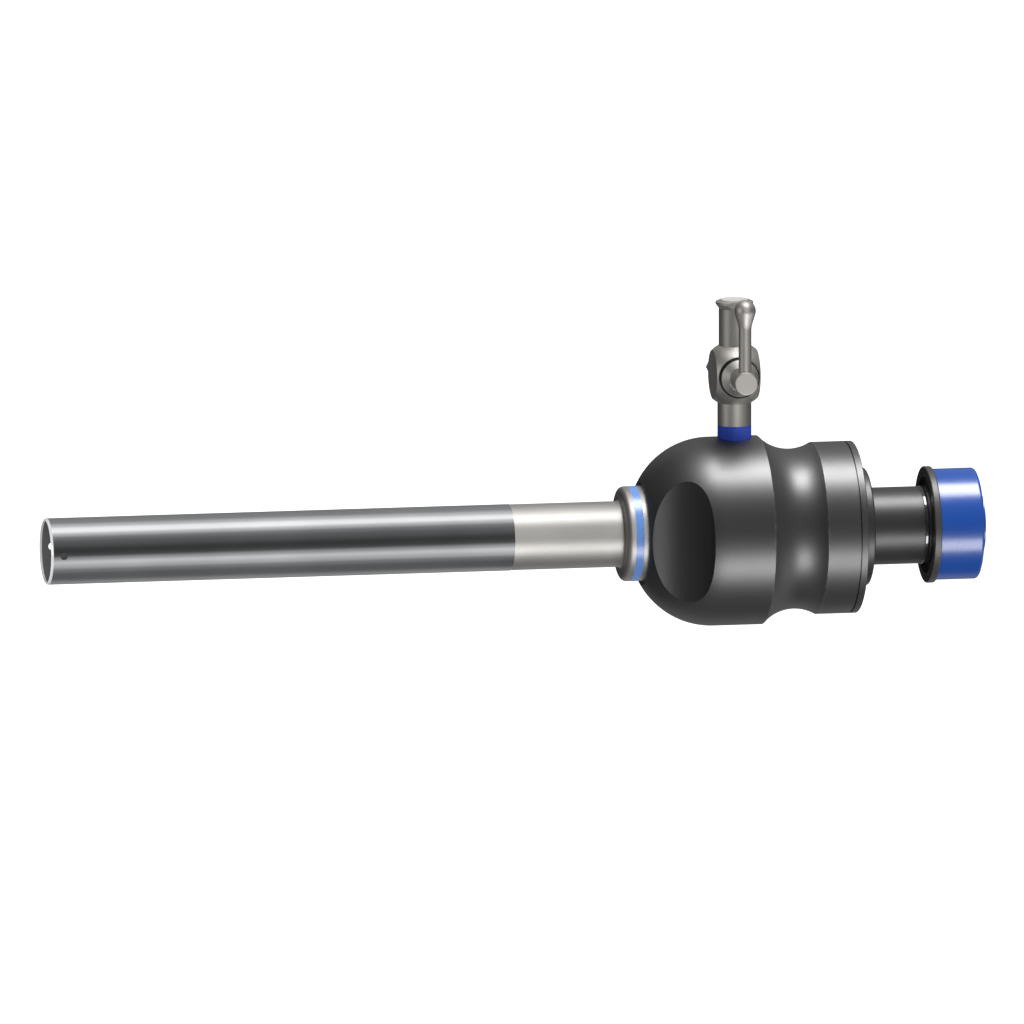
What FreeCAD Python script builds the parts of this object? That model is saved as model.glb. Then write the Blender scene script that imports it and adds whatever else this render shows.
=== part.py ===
import FreeCAD, Part
import math
import os

import Sketcher

# Laparoscopic trocar, in millimetres.
# The origin is the centre of the cannula's mouth. +X runs up the cannula to the
# seal cap, and +Z points to the stopcock.

NODE_FOLDER = "parts"
SHEET = "Sizes"

# Length of the construction lines that stand for turning axes
AXIS_LINE = 1.0

# Driving sizes
SIZES = {
    # cannula tube
    "tube_length": 80.8,
    "tube_radius": 5.7,
    "tube_wall": 0.35,
    "mouth_round": 0.4,
    "mouth_lip": 0.08,
    "vent_place": 2.2,
    "vent_radius": 0.65,
    # cannula hub with its collar and screwed tail
    "sleeve_length": 19.2,
    "sleeve_step": 0.05,
    "sleeve_root": 0.4,
    "collar_width": 3.7,
    "collar_height": 2.5,
    "collar_round": 0.95,
    "band_place": 1.5,
    "band_width": 1.4,
    "band_depth": 0.6,
    "tail_length": 4.6,
    "tail_wall": 1.3,
    "tail_groove_place": 1.2,
    "funnel": 0.7,
    # seal rings and clearances
    "ring_groove_width": 1.2,
    "ring_groove_depth": 0.7,
    "ring_play": 0.02,
    "fit_gap": 0.05,
    "running_gap": 0.03,
    "swing_gap": 0.2,
    "cutter_reach": 1.0,
    # valve housing outside
    "housing_radius": 16.2,
    "dome_length": 12.16,
    "dome_radius": 13.8,
    "barrel_length": 8.4,
    "waist_length": 9.5,
    "waist_radius": 7.7,
    "rim_radius": 14.75,
    "rim_length": 5.6,
    "grip_place": 1.96,
    "grip_floor": 9.35,
    "grip_radius": 8.24,
    # valve chamber
    "chamber_front_radius": 8.2,
    "chamber_flare": 5.6,
    "hinge_clearance": 1.1,
    "shoulder_width": 0.8,
    "tip_clearance": 0.6,
    "bay_length": 8.0,
    "bay_side_clearance": 0.3,
    "bay_clearance": 1.2,
    # valve seat with the hinge ears
    "seat_length": 4.0,
    "seat_floor": 1.4,
    "seat_step": 0.3,
    "seat_skirt_wall": 0.7,
    "seat_rim_wall": 1.75,
    "seat_lip_height": 0.6,
    "seat_lip_width": 0.9,
    "hinge_advance": 2.6,
    "hinge_below": 2.0,
    "knuckle_radius": 1.3,
    "ear_thickness": 1.4,
    "pin_radius": 0.6,
    # flap
    "flap_overlap": 0.4,
    "flap_thickness": 1.2,
    "arm_half_width": 2.8,
    "pad_thickness": 1.0,
    "pad_margin": 0.05,
    "rivet_head_radius": 1.6,
    "rivet_head_height": 0.4,
    "rivet_tail_radius": 1.4,
    "rivet_radius": 0.8,
    # rear cover
    "parting_gap_width": 0.25,
    "parting_gap_depth": 0.4,
    "cover_thickness": 1.4,
    "cover_round": 0.15,
    "web_inner_height": 1.95,
    "spigot_wall": 2.55,
    # round nut on the neck
    "nut_height": 3.475,
    "nut_width": 2.1,
    "nut_round": 0.3,
    # guide tube, whose outside is the neck
    "guide_radius": 5.4,
    "neck_wall": 1.225,
    "neck_insert": 2.75,
    "neck_groove_place": 1.2,
    "guide_flange_gap": 0.2,
    "guide_flange_width": 1.5,
    "guide_nose_gap": 0.25,
    "bead_place": 11.8,
    "bead_radius": 0.4,
    "bead_stand": 0.12,
    # cap holder and seal cap
    "holder_place": 12.4,
    "flange_step": 0.475,
    "flange_width": 1.25,
    "flange_round": 0.2,
    "recess_width": 1.6,
    "recess_depth": 0.8,
    "holder_sleeve_wall": 1.5,
    "holder_wall": 1.2,
    "holder_hole_step": 0.1,
    "barb_place": 2.3,
    "barb_length": 1.2,
    "barb_height": 0.35,
    "cap_wall": 1.35,
    "cap_length": 7.55,
    "cap_round": 0.5,
    "cap_hole_radius": 4.75,
    "cap_funnel": 0.4,
    "lip_ring_width": 0.65,
    "lip_ring_height": 0.95,
    "lip_seal_thickness": 1.2,
    "lip_edge_thickness": 0.4,
    "lip_squeeze": 0.25,
    # stopcock
    "stem_radius": 2.92,
    "stem_wall": 1.0,
    "stem_spigot_length": 2.75,
    "stem_groove_place": 0.9,
    "stem_groove_width": 0.8,
    "stem_groove_depth": 0.45,
    "foot_ring_height": 3.0,
    "foot_ring_sink": 0.8,
    "gas_radius": 1.1,
    "body_radius": 5.7,
    "body_flat": 3.8,
    "plug_rise": 8.75,
    "luer_rise": 12.95,
    "luer_mouth_radius": 2.15,
    "luer_wall": 0.55,
    "luer_rim_width": 0.3,
    "luer_lug_reach": 0.55,
    "luer_lug_drop": 1.5,
    "luer_lug_edge": 0.35,
    "luer_lug_flat": 0.05,
    "luer_depth": 7.5,
    "luer_taper": 0.03,
    # plug and lever
    "plug_front_radius": 2.6,
    "plug_rear_radius": 2.3,
    "plug_seat": 4.0,
    "plug_head_step": 0.85,
    "plug_head_gap": 0.15,
    "plug_head_width": 1.05,
    "plug_cone_width": 1.4,
    "plug_cone_radius": 2.1,
    "plug_hub_radius": 2.0,
    "plug_hub_round": 0.2,
    "plug_rear_flat": 4.6,
    "plug_tail_radius": 1.6,
    "plug_tail_stand": 0.2,
    "washer_radius": 3.3,
    "washer_thickness": 0.85,
    "plug_nut_half_across": 3.0,
    "plug_nut_width": 3.0,
    "lever_radius": 1.1,
    "lever_reach": 9.75,
    "hub_end_wall": 0.3,
    "knob_radius": 1.86,
    "knob_top": 14.35,
    "knob_length": 5.25,
    "knob_shoulder": 0.75,
}


class Size:
    """A length together with the sheet formula that drives it."""

    def __init__(self, value, formula):
        self.value = float(value)
        self.formula = formula

    def __add__(self, other):
        other = as_size(other)
        return Size(self.value + other.value, "(%s + %s)" % (self.formula, other.formula))

    def __sub__(self, other):
        other = as_size(other)
        return Size(self.value - other.value, "(%s - %s)" % (self.formula, other.formula))

    def __mul__(self, other):
        other = as_size(other)
        return Size(self.value * other.value, "(%s * %s)" % (self.formula, other.formula))

    def __truediv__(self, other):
        other = as_size(other)
        return Size(self.value / other.value, "(%s / %s)" % (self.formula, other.formula))

    def __neg__(self):
        return Size(-self.value, "(0 - %s)" % self.formula)


def as_size(number):
    if isinstance(number, Size):
        return number
    return Size(number, repr(float(number)))


def root(size):
    return Size(math.sqrt(size.value), "sqrt(%s)" % size.formula)


def beside(hypotenuse, leg):
    """The other leg of a right triangle."""
    return root(hypotenuse * hypotenuse - leg * leg)


class Driving:
    """The sizes of the sheet, each under its own name."""


def make_sheet(doc):
    sheet = doc.addObject("Spreadsheet::Sheet", SHEET)
    driving = Driving()
    for row, (name, value) in enumerate(SIZES.items(), start=1):
        sheet.set("A%d" % row, name)
        sheet.set("B%d" % row, str(value))
        sheet.setAlias("B%d" % row, name)
        setattr(driving, name, Size(value, "%s.%s" % (SHEET, name)))
    doc.recompute()
    return driving


# Drawing helpers

def new_body(doc, name, place=None):
    """A body labelled with the node's name, its place bound to the sheet."""
    body = doc.addObject("PartDesign::Body", name)
    body.Label = name
    if place:
        body.Placement.Base = FreeCAD.Vector(*[as_size(p).value for p in place])
        for axis, size in zip("xyz", place):
            body.setExpression("Placement.Base.%s" % axis, as_size(size).formula)
    return body


def new_sketch(body, plane):
    planes = [part for part in body.Origin.OriginFeatures if part.Role == plane]
    sketch = body.newObject("Sketcher::SketchObject", body.Name + "_sketch")
    sketch.AttachmentSupport = [(planes[0], "")]
    sketch.MapMode = "FlatFace"
    return sketch


def bind(sketch, kind, references, size):
    """A driven dimension, or a plain one where the size is a fixed number."""
    number = sketch.addConstraint(Sketcher.Constraint(kind, *references, size.value))
    if SHEET in size.formula:
        sketch.setExpression("Constraints[%d]" % number, size.formula)


def pin_point(sketch, line, end, corner):
    """Holds one end of a line or arc at the corner."""
    for kind, size, axis in (("DistanceX", corner[0], -2), ("DistanceY", corner[1], -1)):
        size = as_size(size)
        if size.formula == "0.0":
            sketch.addConstraint(Sketcher.Constraint("PointOnObject", line, end, axis))
        else:
            bind(sketch, kind, (-1, 1, line, end), size)


def arc_between(start, end, radius):
    """Minor arc from start to end. A positive radius has its centre on the left."""
    chord = end - start
    half = chord.Length / 2
    rise = math.sqrt(max(radius * radius - half * half, 0))
    left = FreeCAD.Vector(-chord.y, chord.x, 0).normalize()
    side = 1 if radius > 0 else -1
    centre = start + chord * 0.5 + left * rise * side
    first, last = (start, end) if side > 0 else (end, start)
    angles = [math.atan2(p.y - centre.y, p.x - centre.x) for p in (first, last)]
    if angles[1] < angles[0]:
        angles[1] += 2 * math.pi
    circle = Part.Circle(centre, FreeCAD.Vector(0, 0, 1), abs(radius))
    return Part.ArcOfCircle(circle, angles[0], angles[1])


def outline(sketch, corners):
    """Closed outline. A corner is (x, y), or (x, y, radius) where an arc leads on from it."""
    points = [FreeCAD.Vector(as_size(c[0]).value, as_size(c[1]).value, 0) for c in corners]
    ends = []
    lines = []
    for number, corner in enumerate(corners):
        start = points[number]
        end = points[(number + 1) % len(points)]
        if len(corner) == 3:
            radius = as_size(corner[2])
            lines.append(sketch.addGeometry(arc_between(start, end, radius.value)))
            ends.append((1, 2) if radius.value > 0 else (2, 1))
        else:
            lines.append(sketch.addGeometry(Part.LineSegment(start, end)))
            ends.append((1, 2))
    for number, corner in enumerate(corners):
        following = (number + 1) % len(corners)
        joint = (lines[number], ends[number][1], lines[following], ends[following][0])
        sketch.addConstraint(Sketcher.Constraint("Coincident", *joint))
        pin_point(sketch, lines[number], ends[number][0], corner)
        if len(corner) == 3:
            radius = as_size(corner[2])
            bind(sketch, "Radius", (lines[number],), radius if radius.value > 0 else -radius)


def circle(sketch, across, up, radius):
    round_line = Part.Circle(FreeCAD.Vector(as_size(across).value, as_size(up).value, 0),
                             FreeCAD.Vector(0, 0, 1), radius.value)
    line = sketch.addGeometry(round_line)
    pin_point(sketch, line, 3, (across, up))
    bind(sketch, "Radius", (line,), radius)


def box_corners(low_x, low_y, high_x, high_y):
    return [(low_x, low_y), (high_x, low_y), (high_x, high_y), (low_x, high_y)]


# The plane and sketch axis that turn a profile about each direction
TURNING = {
    "X": ("XZ_Plane", "H_Axis"),
    "Y": ("YZ_Plane", "H_Axis"),
    "Z": ("XZ_Plane", "V_Axis"),
}


def turn(body, corners, along):
    """Turns a profile of (along, radius) corners about the body's own axis."""
    plane, axis = TURNING[along]
    sketch = new_sketch(body, plane)
    if along == "Z":
        corners = [(c[1], c[0]) + tuple(-as_size(r) for r in c[2:]) for c in corners]
    outline(sketch, corners)
    made = body.newObject("PartDesign::Revolution", body.Name + "_turned")
    made.Profile = sketch
    made.ReferenceAxis = (sketch, [axis])
    made.Angle = 360


def turned(doc, name, corners, along="X", place=None):
    body = new_body(doc, name, place)
    turn(body, corners, along)
    return body


def volume_of(body):
    body.Document.recompute()
    return body.Shape.Volume


def check_cut(body, before):
    if volume_of(body) >= before:
        raise RuntimeError("a cut in %s takes nothing away" % body.Label)


def through_cut(body, plane, draw):
    """Cuts what is drawn on the middle plane right through, both ways."""
    before = volume_of(body)
    sketch = new_sketch(body, plane)
    draw(sketch)
    cut = body.newObject("PartDesign::Pocket", body.Name + "_cut")
    cut.Profile = sketch
    cut.Type = "ThroughAll"
    cut.Midplane = True
    check_cut(body, before)


def slot_cut(body, plane, draw, width):
    """Cuts what is drawn, over the width, half to each side of the plane."""
    before = volume_of(body)
    sketch = new_sketch(body, plane)
    draw(sketch)
    cut = body.newObject("PartDesign::Pocket", body.Name + "_slot")
    cut.Profile = sketch
    cut.Length = width.value
    cut.setExpression("Length", width.formula)
    cut.Midplane = True
    check_cut(body, before)


def pad(body, plane, draw, length, middle=False):
    sketch = new_sketch(body, plane)
    draw(sketch)
    made = body.newObject("PartDesign::Pad", body.Name + "_pad")
    made.Profile = sketch
    made.Length = length.value
    made.setExpression("Length", length.formula)
    made.Midplane = middle


def groove_about(body, plane, point, corners):
    """Turned cut about a line through the point: upright in XZ, along Y in YZ."""
    before = volume_of(body)
    sketch = new_sketch(body, plane)
    outline(sketch, corners)
    upright = plane == "XZ_Plane"
    start = FreeCAD.Vector(as_size(point[0]).value, as_size(point[1]).value, 0)
    step = FreeCAD.Vector(0, AXIS_LINE, 0) if upright else FreeCAD.Vector(AXIS_LINE, 0, 0)
    line = sketch.addGeometry(Part.LineSegment(start, start + step), True)
    pin_point(sketch, line, 1, point)
    sketch.addConstraint(Sketcher.Constraint("Vertical" if upright else "Horizontal", line))
    sketch.addConstraint(Sketcher.Constraint("Distance", line, AXIS_LINE))
    cut = body.newObject("PartDesign::Groove", body.Name + "_bore")
    cut.Profile = sketch
    cut.ReferenceAxis = (sketch, ["Axis0"])
    cut.Angle = 360
    check_cut(body, before)


def seal_ring(doc, name, d, place, floor_radius, wall_radius, height=None):
    """Round seal ring between a groove's floor and the wall around it.

    It lies round the cannula's axis, or flat round the stopcock's stem at a height.
    """
    ring = doc.addObject("Part::Torus", name)
    ring.Label = name
    middle = (floor_radius + wall_radius) / 2
    section = (wall_radius - floor_radius) / 2 - d.ring_play
    for field, size in (("Radius1", middle), ("Radius2", section)):
        setattr(ring, field, size.value)
        ring.setExpression(field, size.formula)
    turn_angle = 90 if height is None else 0
    ring.Placement = FreeCAD.Placement(
        FreeCAD.Vector(place.value, 0, 0),
        FreeCAD.Rotation(FreeCAD.Vector(0, 1, 0), turn_angle))
    ring.setExpression("Placement.Base.x", place.formula)
    if height is not None:
        ring.setExpression("Placement.Base.z", height.formula)
    return ring


class Stations:
    """Places and radii that several pieces share, worked out from the sheet."""

    def __init__(self, d):
        # radii
        self.bore = d.tube_radius - d.tube_wall
        self.sleeve_radius = d.tube_radius - d.sleeve_step
        self.collar_radius = self.sleeve_radius + d.collar_height
        self.tail_radius = self.bore + d.tail_wall
        self.seat_bore = d.guide_radius + d.seat_step
        self.seat_lip_radius = self.seat_bore + d.seat_lip_width
        self.skirt_radius = self.seat_bore + d.seat_skirt_wall
        self.flap_radius = self.seat_lip_radius + d.flap_overlap
        self.hinge_drop = self.flap_radius + d.hinge_below
        self.chamber_radius = self.hinge_drop + d.knuckle_radius + d.hinge_clearance
        self.rear_bore = self.chamber_radius + d.shoulder_width
        self.insert_radius = self.rear_bore - d.fit_gap
        self.magnet_pocket = self.insert_radius - d.seat_rim_wall
        self.cover_bore = self.insert_radius - d.spigot_wall
        self.neck_radius = d.guide_radius + d.neck_wall
        self.neck_bore = self.neck_radius + d.fit_gap
        self.holder_sleeve = self.neck_bore + d.holder_sleeve_wall
        self.cap_radius = self.holder_sleeve + d.cap_wall
        self.holder_hole = d.guide_radius + d.holder_hole_step
        self.spigot_radius = d.gas_radius + d.stem_wall
        # places along the cannula's axis
        self.collar = d.tube_length + d.sleeve_length
        self.front = self.collar + d.collar_width
        self.tail_end = self.front + d.tail_length
        self.dome_end = self.front + d.dome_length
        self.stopcock = self.dome_end + d.barrel_length / 2
        self.edge = self.dome_end + d.barrel_length
        self.rim = self.edge + d.waist_length
        self.rear = self.rim + d.rim_length
        self.hinge = self.tail_end + d.tip_clearance + self.flap_radius + self.hinge_drop
        self.shoulder = self.hinge + d.hinge_advance
        self.lip = self.shoulder - d.seat_lip_height
        self.seat_end = self.shoulder + d.seat_length
        self.cover_face = self.rear + d.cover_thickness
        self.web = self.rear - d.web_inner_height
        self.holder = self.cover_face + d.holder_place
        self.cap = self.holder + d.flange_width
        self.neck_end = self.cap + d.neck_insert
        self.holder_wall = self.neck_end + d.fit_gap
        self.lip_seal = self.holder_wall + d.holder_wall
        self.cap_wall = self.lip_seal + d.lip_seal_thickness
        self.cap_face = self.cap + d.cap_length
        # heights of the stopcock
        self.foot_ring = d.housing_radius - d.foot_ring_sink
        self.spigot_end = self.foot_ring - d.stem_spigot_length
        self.stem = self.foot_ring + d.foot_ring_height
        self.plug = self.stem + d.plug_rise
        self.luer_top = self.plug + d.luer_rise
        # the plug's own direction, towards the lever
        self.hub_end = d.lever_reach + d.lever_radius + d.hub_end_wall
        self.washer = d.plug_rear_flat + d.fit_gap
        self.plug_nut = self.washer + d.washer_thickness


# Cannula

def cannula_tube(doc, d, at):
    """Thin tube, its mouth rounded off outside down to a narrow lip, with two cross holes."""
    drop = d.tube_wall - d.mouth_lip
    mouth_arc = (d.mouth_round * d.mouth_round + drop * drop) / (drop * 2)
    tube = turned(doc, "cannula_tube", [
        (0, at.bore),
        (d.tube_length, at.bore),
        (d.tube_length, d.tube_radius),
        (d.mouth_round, d.tube_radius, mouth_arc),
        (0, at.bore + d.mouth_lip),
    ])
    through_cut(tube, "XZ_Plane", lambda sketch: circle(sketch, d.vent_place, 0, d.vent_radius))
    return tube


def cannula_hub(doc, d, at):
    """Sleeve, round collar grooved for the colour ring, and screwed tail with a seal groove."""
    groove_start = at.front + d.tail_groove_place
    groove_end = groove_start + d.ring_groove_width
    groove_floor = at.tail_radius - d.ring_groove_depth
    band_start = at.collar + d.band_place
    band_end = band_start + d.band_width
    band_floor = at.collar_radius - d.band_depth
    return turned(doc, "cannula_hub", [
        (d.tube_length, at.bore),
        (at.tail_end - d.funnel, at.bore),
        (at.tail_end, at.bore + d.funnel),
        (at.tail_end, at.tail_radius),
        (groove_end, at.tail_radius),
        (groove_end, groove_floor),
        (groove_start, groove_floor),
        (groove_start, at.tail_radius),
        (at.front, at.tail_radius),
        (at.front, at.collar_radius),
        (band_end, at.collar_radius),
        (band_end, band_floor),
        (band_start, band_floor),
        (band_start, at.collar_radius),
        (at.collar + d.collar_round, at.collar_radius, d.collar_round),
        (at.collar, at.collar_radius - d.collar_round),
        (at.collar, at.sleeve_radius + d.sleeve_root, -d.sleeve_root),
        (at.collar - d.sleeve_root, at.sleeve_radius),
        (d.tube_length, at.sleeve_radius),
    ])


def hub_colour_ring(doc, d, at):
    start = at.collar + d.band_place
    return turned(doc, "hub_colour_ring", box_corners(
        start, at.collar_radius - d.band_depth, start + d.band_width, at.collar_radius))


def hub_oring(doc, d, at):
    return seal_ring(doc, "hub_oring", d,
                     at.front + d.tail_groove_place + d.ring_groove_width / 2,
                     at.tail_radius - d.ring_groove_depth, at.tail_radius + d.fit_gap)


# Valve housing

def valve_housing(doc, d, at):
    """Moulded housing with dome, barrel, waist and rim outside and the valve chamber inside."""
    dome_centre = d.housing_radius - d.dome_radius
    nose_radius = dome_centre + beside(d.dome_radius, d.dome_length)
    tail_bore = at.tail_radius + d.fit_gap
    housing = turned(doc, "valve_housing", [
        (at.front, tail_bore),
        (at.tail_end, tail_bore),
        (at.tail_end, d.chamber_front_radius),
        (at.tail_end + d.chamber_flare, at.chamber_radius),
        (at.shoulder, at.chamber_radius),
        (at.shoulder, at.rear_bore),
        (at.rear, at.rear_bore),
        (at.rear, d.rim_radius),
        (at.rim, d.rim_radius, -d.waist_radius),
        (at.edge, d.housing_radius),
        (at.dome_end, d.housing_radius, d.dome_radius),
        (at.front, nose_radius),
    ])
    grip_scallops(housing, d, at)
    flap_bay(housing, d, at)
    stem_bore(housing, d, at)
    return housing


def grip_scallops(housing, d, at):
    """Hollows for finger and thumb, one on each side."""
    def draw(sketch):
        place = at.front + d.grip_place
        offset = d.grip_floor + d.grip_radius
        circle(sketch, place, offset, d.grip_radius)
        circle(sketch, place, -offset, d.grip_radius)
    through_cut(housing, "XY_Plane", draw)


def flap_bay(housing, d, at):
    """Room below the instrument's path for the open flap."""
    depth = at.hinge_drop + d.bay_clearance
    half_width = at.flap_radius + d.bay_side_clearance

    def draw(sketch):
        outline(sketch, box_corners(at.tail_end, -depth, at.tail_end + d.bay_length, 0))

    slot_cut(housing, "XZ_Plane", draw, half_width * 2)


def stem_bore(housing, d, at):
    """Counterbore for the coloured ring, screwed bore for the stem and the gas way."""
    ring_bore = d.stem_radius + d.fit_gap
    spigot_bore = at.spigot_radius + d.fit_gap
    spigot_floor = at.spigot_end - d.fit_gap
    inside = at.chamber_radius - d.cutter_reach
    outside = d.housing_radius + d.cutter_reach
    groove_about(housing, "XZ_Plane", (at.stopcock, 0), [
        (at.stopcock, inside),
        (at.stopcock + d.gas_radius, inside),
        (at.stopcock + d.gas_radius, spigot_floor),
        (at.stopcock + spigot_bore, spigot_floor),
        (at.stopcock + spigot_bore, at.foot_ring),
        (at.stopcock + ring_bore, at.foot_ring),
        (at.stopcock + ring_bore, outside),
        (at.stopcock, outside),
    ])


# Flap valve

def valve_seat(doc, d, at):
    """Seat with its raised lip, the magnet's pocket, the seal groove and the hinge ears."""
    groove_floor = at.insert_radius - d.ring_groove_depth
    groove_start = at.shoulder + d.seat_floor
    groove_end = groove_start + d.ring_groove_width
    seat = turned(doc, "valve_seat", [
        (at.lip, at.seat_bore),
        (at.seat_end, at.seat_bore),
        (at.seat_end, at.skirt_radius),
        (at.shoulder + d.seat_floor, at.skirt_radius),
        (at.shoulder + d.seat_floor, at.magnet_pocket),
        (at.seat_end, at.magnet_pocket),
        (at.seat_end, at.insert_radius),
        (groove_end, at.insert_radius),
        (groove_end, groove_floor),
        (groove_start, groove_floor),
        (groove_start, at.insert_radius),
        (at.shoulder, at.insert_radius),
        (at.shoulder, at.seat_lip_radius),
        (at.lip, at.seat_lip_radius),
    ])
    hinge_ears(seat, d, at)
    return seat


def hinge_ears(seat, d, at):
    ear_gap = d.arm_half_width + d.swing_gap
    top = d.knuckle_radius - at.hinge_drop
    bottom = -d.knuckle_radius - at.hinge_drop

    def ear(sketch):
        outline(sketch, [
            (at.hinge, bottom),
            (at.shoulder, bottom),
            (at.shoulder, top),
            (at.hinge, top, d.knuckle_radius),
            (at.hinge - d.knuckle_radius, -at.hinge_drop, d.knuckle_radius),
        ])

    def between_ears(sketch):
        outline(sketch, box_corners(at.hinge - d.knuckle_radius - d.cutter_reach,
                                    bottom - d.cutter_reach,
                                    at.shoulder, top + d.cutter_reach))

    def pin_hole(sketch):
        circle(sketch, at.hinge, -at.hinge_drop, d.pin_radius)

    pad(seat, "XZ_Plane", ear, (ear_gap + d.ear_thickness) * 2, middle=True)
    slot_cut(seat, "XZ_Plane", between_ears, ear_gap * 2)
    slot_cut(seat, "XZ_Plane", pin_hole, (ear_gap + d.ear_thickness) * 2)


def ring_magnet(doc, d, at):
    return turned(doc, "ring_magnet", box_corners(
        at.shoulder + d.seat_floor + d.fit_gap, at.skirt_radius + d.fit_gap,
        at.seat_end - d.fit_gap, at.magnet_pocket - d.fit_gap))


def seat_oring(doc, d, at):
    return seal_ring(doc, "seat_oring", d,
                     at.shoulder + d.seat_floor + d.ring_groove_width / 2,
                     at.insert_radius - d.ring_groove_depth, at.rear_bore)


def hinge_pin(doc, d, at):
    half_length = d.arm_half_width + d.swing_gap + d.ear_thickness
    return turned(doc, "hinge_pin", box_corners(-half_length, 0, half_length, d.pin_radius),
                  along="Y", place=(at.hinge, 0, -at.hinge_drop))


class FlapFaces:
    """Faces of the pad and the flap, measured from the hinge axis."""

    def __init__(self, d, at):
        self.pad_face = at.lip - d.fit_gap - at.hinge
        self.pad_back = self.pad_face - d.pad_thickness
        self.flap_back = self.pad_back - d.flap_thickness
        self.head_floor = self.pad_face - d.rivet_head_height


def valve_flap(doc, d, at):
    """Steel disc with its arm and knuckle, drawn from the hinge axis."""
    faces = FlapFaces(d, at)
    flap = new_body(doc, "valve_flap", (at.hinge + faces.flap_back, 0, -at.hinge_drop))
    arm_top = d.hinge_below + d.arm_half_width

    def disc(sketch):
        circle(sketch, 0, at.hinge_drop, at.flap_radius)

    def arm(sketch):
        outline(sketch, box_corners(-d.arm_half_width, 0, d.arm_half_width, arm_top))

    def knuckle(sketch):
        circle(sketch, -faces.flap_back, 0, d.knuckle_radius)

    def rivet_hole(sketch):
        circle(sketch, 0, at.hinge_drop, d.rivet_radius)

    def pin_hole(sketch):
        circle(sketch, -faces.flap_back, 0, d.pin_radius + d.running_gap)

    pad(flap, "YZ_Plane", disc, d.flap_thickness)
    pad(flap, "YZ_Plane", arm, d.flap_thickness)
    pad(flap, "XZ_Plane", knuckle, d.arm_half_width * 2, middle=True)
    through_cut(flap, "YZ_Plane", rivet_hole)
    through_cut(flap, "XZ_Plane", pin_hole)
    return flap


def flap_pad(doc, d, at):
    faces = FlapFaces(d, at)
    pad_radius = at.flap_radius - d.pad_margin
    return turned(doc, "flap_pad", [
        (faces.pad_back, d.rivet_radius),
        (faces.head_floor, d.rivet_radius),
        (faces.head_floor, d.rivet_head_radius),
        (faces.pad_face, d.rivet_head_radius),
        (faces.pad_face, pad_radius),
        (faces.pad_back, pad_radius),
    ], place=(at.hinge, 0, 0))


def pad_rivet(doc, d, at):
    faces = FlapFaces(d, at)
    head = faces.pad_face - d.fit_gap
    tail = faces.flap_back - d.rivet_head_height
    return turned(doc, "pad_rivet", [
        (tail, 0),
        (head, 0),
        (head, d.rivet_head_radius),
        (faces.head_floor, d.rivet_head_radius),
        (faces.head_floor, d.rivet_radius),
        (faces.flap_back, d.rivet_radius),
        (faces.flap_back, d.rivet_tail_radius),
        (tail, d.rivet_tail_radius),
    ], place=(at.hinge, 0, 0))


# Rear cover, guide tube and nut

def rear_cover(doc, d, at):
    """End plate, web and screwed spigot, with a parting gap, and seal grooves inside."""
    gap_end = at.rear + d.parting_gap_width
    gap_floor = d.rim_radius - d.parting_gap_depth
    groove_end = at.rear - d.fit_gap
    groove_start = groove_end - d.ring_groove_width
    groove_floor = at.insert_radius - d.ring_groove_depth
    neck_groove_end = at.web + d.ring_groove_width
    neck_groove_floor = at.neck_bore + d.ring_groove_depth
    return turned(doc, "rear_cover", [
        (at.seat_end, at.cover_bore),
        (at.web, at.cover_bore),
        (at.web, neck_groove_floor),
        (neck_groove_end, neck_groove_floor),
        (neck_groove_end, at.neck_bore),
        (at.cover_face, at.neck_bore),
        (at.cover_face, d.rim_radius - d.cover_round, d.cover_round),
        (at.cover_face - d.cover_round, d.rim_radius),
        (gap_end, d.rim_radius),
        (gap_end, gap_floor),
        (at.rear, gap_floor),
        (at.rear, at.insert_radius),
        (groove_end, at.insert_radius),
        (groove_end, groove_floor),
        (groove_start, groove_floor),
        (groove_start, at.insert_radius),
        (at.seat_end, at.insert_radius),
    ])


def cover_oring(doc, d, at):
    return seal_ring(doc, "cover_oring", d,
                     at.rear - d.fit_gap - d.ring_groove_width / 2,
                     at.insert_radius - d.ring_groove_depth, at.rear_bore)


def guide_tube(doc, d, at):
    """Neck with its inner flange and nose, and grooves for the bead and the cap's seal."""
    nose = at.seat_end + d.guide_nose_gap
    flange_start = at.web - d.guide_flange_width
    flange_radius = at.cover_bore - d.guide_flange_gap
    seal_start = at.cap + d.neck_groove_place - d.ring_groove_width / 2
    seal_end = seal_start + d.ring_groove_width
    seal_floor = at.neck_radius - d.ring_groove_depth
    bead_start = at.cover_face + d.bead_place - d.bead_radius
    bead_end = bead_start + d.bead_radius * 2
    bead_floor = at.neck_radius + d.bead_stand - d.bead_radius * 2
    return turned(doc, "guide_tube", [
        (nose, d.guide_radius + d.funnel),
        (nose + d.funnel, d.guide_radius),
        (at.neck_end - d.funnel, d.guide_radius),
        (at.neck_end, d.guide_radius + d.funnel),
        (at.neck_end, at.neck_radius),
        (seal_end, at.neck_radius),
        (seal_end, seal_floor),
        (seal_start, seal_floor),
        (seal_start, at.neck_radius),
        (bead_end, at.neck_radius),
        (bead_end, bead_floor),
        (bead_start, bead_floor),
        (bead_start, at.neck_radius),
        (at.web, at.neck_radius),
        (at.web, flange_radius),
        (flange_start, flange_radius),
        (flange_start, at.neck_radius),
        (nose, at.neck_radius),
    ])


def guide_oring(doc, d, at):
    return seal_ring(doc, "guide_oring", d, at.web + d.ring_groove_width / 2,
                     at.neck_radius, at.neck_bore + d.ring_groove_depth)


def neck_bead(doc, d, at):
    """Round ring let into the neck, the stop for the cap assembly."""
    outside = at.neck_radius + d.bead_stand
    return seal_ring(doc, "neck_bead", d, at.cover_face + d.bead_place,
                     outside - d.bead_radius * 2, outside)


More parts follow.
